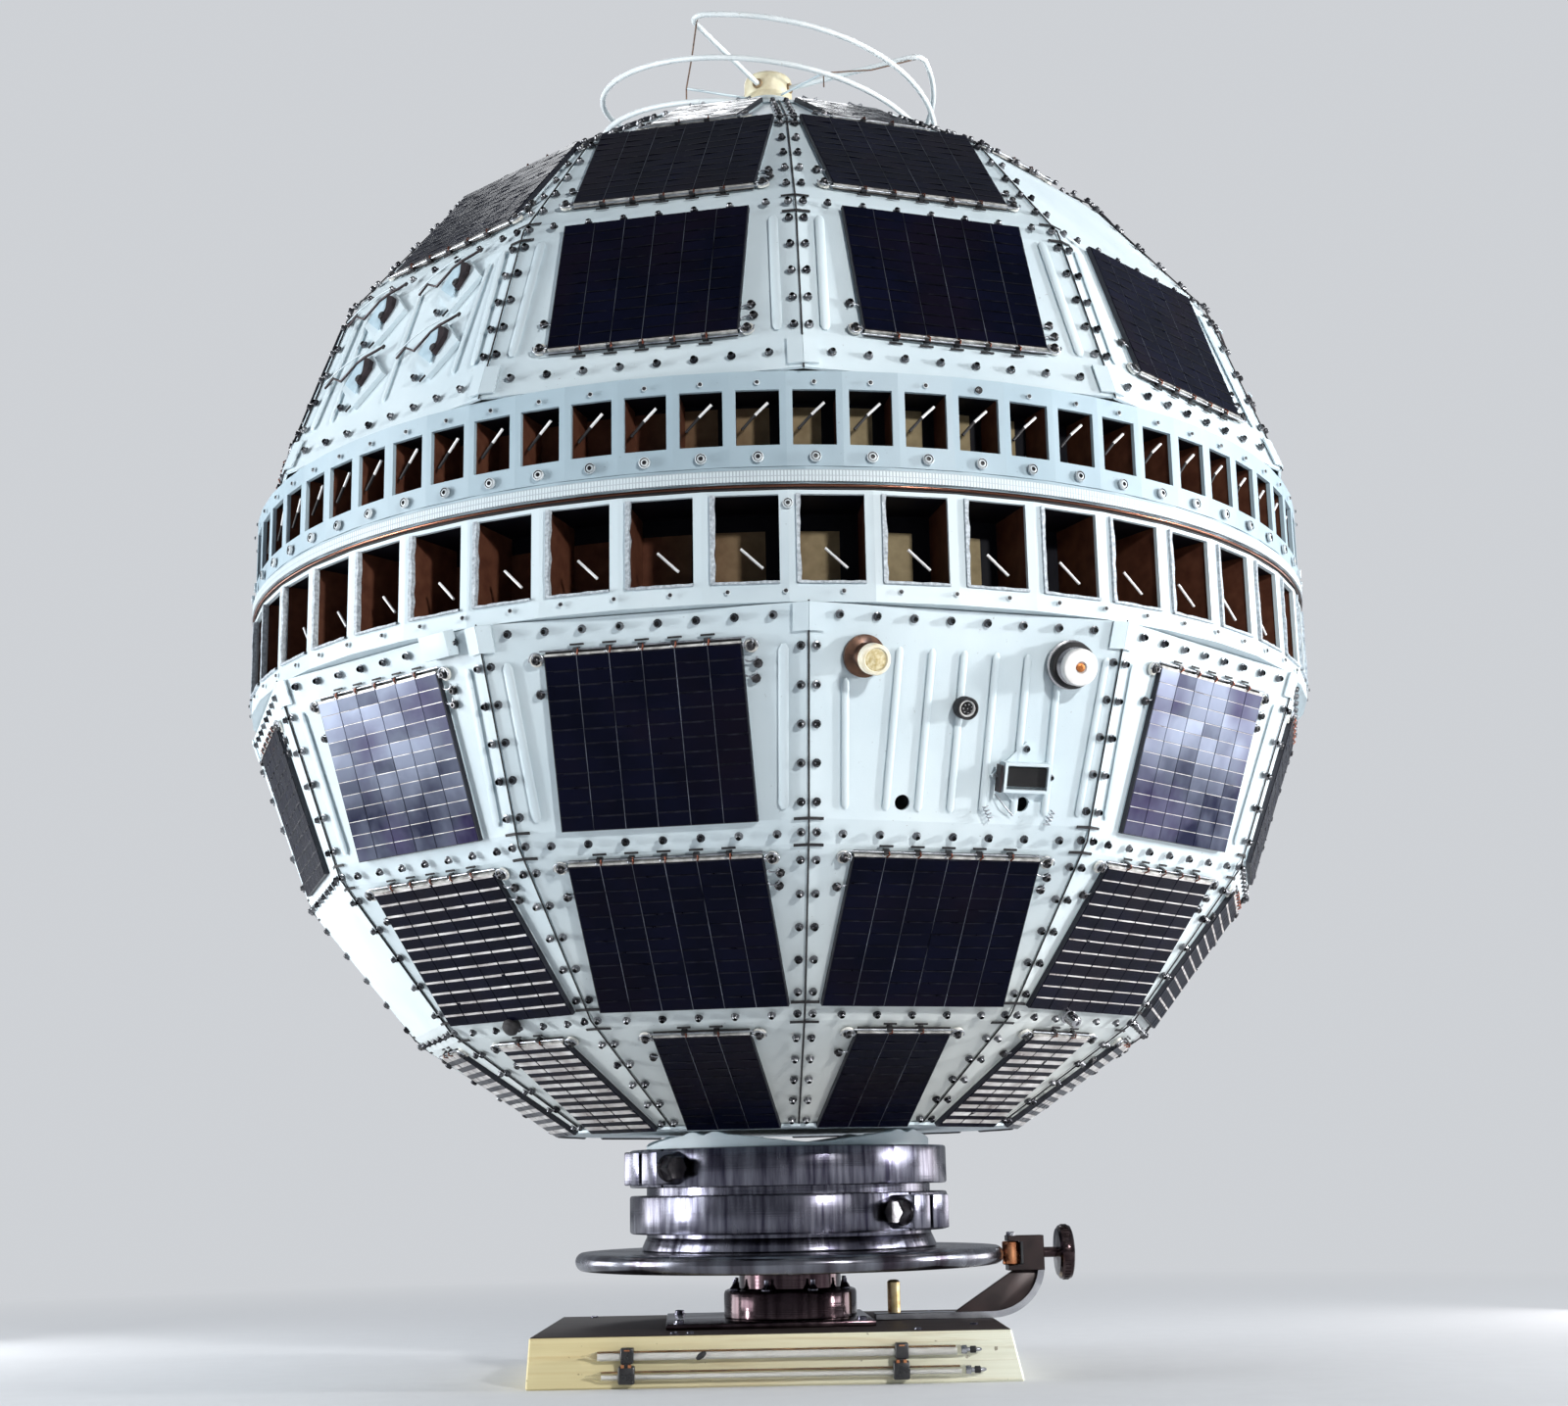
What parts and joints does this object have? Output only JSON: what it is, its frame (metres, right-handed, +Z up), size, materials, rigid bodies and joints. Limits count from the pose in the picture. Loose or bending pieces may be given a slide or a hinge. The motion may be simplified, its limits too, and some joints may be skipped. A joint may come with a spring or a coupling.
{
  "type": "faceted spherical communications satellite on a display turntable",
  "caption": "White faceted spherical satellite with solar panels, a belt of small antenna windows and a helical top antenna, clamped on a turntable on a pine base.",
  "frame": {"origin": "on the turning axis, at the underside of the pine base", "axes": "+Z up along the spin axis, -Y towards the front, where the seam between the first and the last gore is"},
  "size_m": [0.861, 0.8672, 1.0993],
  "materials": {
    "white_paint": "satin cool white paint on thin sheet",
    "solar_sheet": "white painted facets carrying dark solar cell trays",
    "horn_bronze": "dull bronze",
    "antenna_white": "satin",
    "ivory_plastic": "moulded ivory insulator",
    "canister_alloy": "satin",
    "ring_alloy": "satin",
    "polished_steel": "polished",
    "dark_steel": "dark glossy",
    "copper": "bright copper",
    "brass": "bright brass",
    "pine": "bare planed pine",
    "tube_glass": "clear",
    "black_plastic": "matte"
  },
  "bodies": {
    "base": {"wood_base": "pine", "base_plate": "dark_steel", "pedestal": "dark_steel", "brake_arm": "polished_steel", "brake_roller": "copper", "brake_knob": "polished_steel", "stop_pin": "brass", "tube_upper": "tube_glass", "tube_lower": "tube_glass", "tube_clip_left": "black_plastic", "tube_clip_right": "black_plastic"},
    "table": {"gore_upper_01": "solar_sheet", "gore_upper_02": "solar_sheet", "gore_upper_03": "solar_sheet", "gore_upper_04": "solar_sheet", "gore_upper_05": "solar_sheet", "gore_upper_06": "solar_sheet", "gore_upper_07": "solar_sheet", "gore_upper_08": "solar_sheet", "gore_upper_09": "solar_sheet", "gore_upper_10": "solar_sheet", "gore_upper_11": "solar_sheet", "gore_upper_12": "solar_sheet", "gore_lower_01": "solar_sheet", "gore_lower_02": "solar_sheet", "gore_lower_03": "solar_sheet", "gore_lower_04": "solar_sheet", "gore_lower_05": "solar_sheet", "gore_lower_06": "solar_sheet", "gore_lower_07": "solar_sheet", "gore_lower_08": "solar_sheet", "gore_lower_09": "solar_sheet", "gore_lower_10": "solar_sheet", "gore_lower_11": "solar_sheet", "gore_lower_12": "solar_sheet", "belt_upper": "white_paint", "belt_waist": "white_paint", "belt_lower": "white_paint", "horns_upper": "horn_bronze", "horns_lower": "horn_bronze", "top_cover": "white_paint", "bottom_cover": "white_paint", "antenna_mast": "antenna_white", "antenna_hub": "ivory_plastic", "canister": "canister_alloy", "separation_ring": "ring_alloy", "clamp_band_upper": "polished_steel", "clamp_band_lower": "polished_steel", "adapter_ring": "polished_steel", "turntable_disc": "polished_steel", "coax_left": "ivory_plastic", "coax_right": "polished_steel", "round_connector": "dark_steel", "port_bracket": "polished_steel", "antenna_arm_1": "antenna_white", "antenna_arm_2": "antenna_white", "antenna_arm_3": "antenna_white", "antenna_arm_4": "antenna_white"}
  },
  "joints": [
    {"name": "table_turn", "type": "hinge", "parent": "base", "child": "table", "pos_m": [0, 0, 0.0786], "axis": [0, 0, 1], "continuous": true}
  ]
}
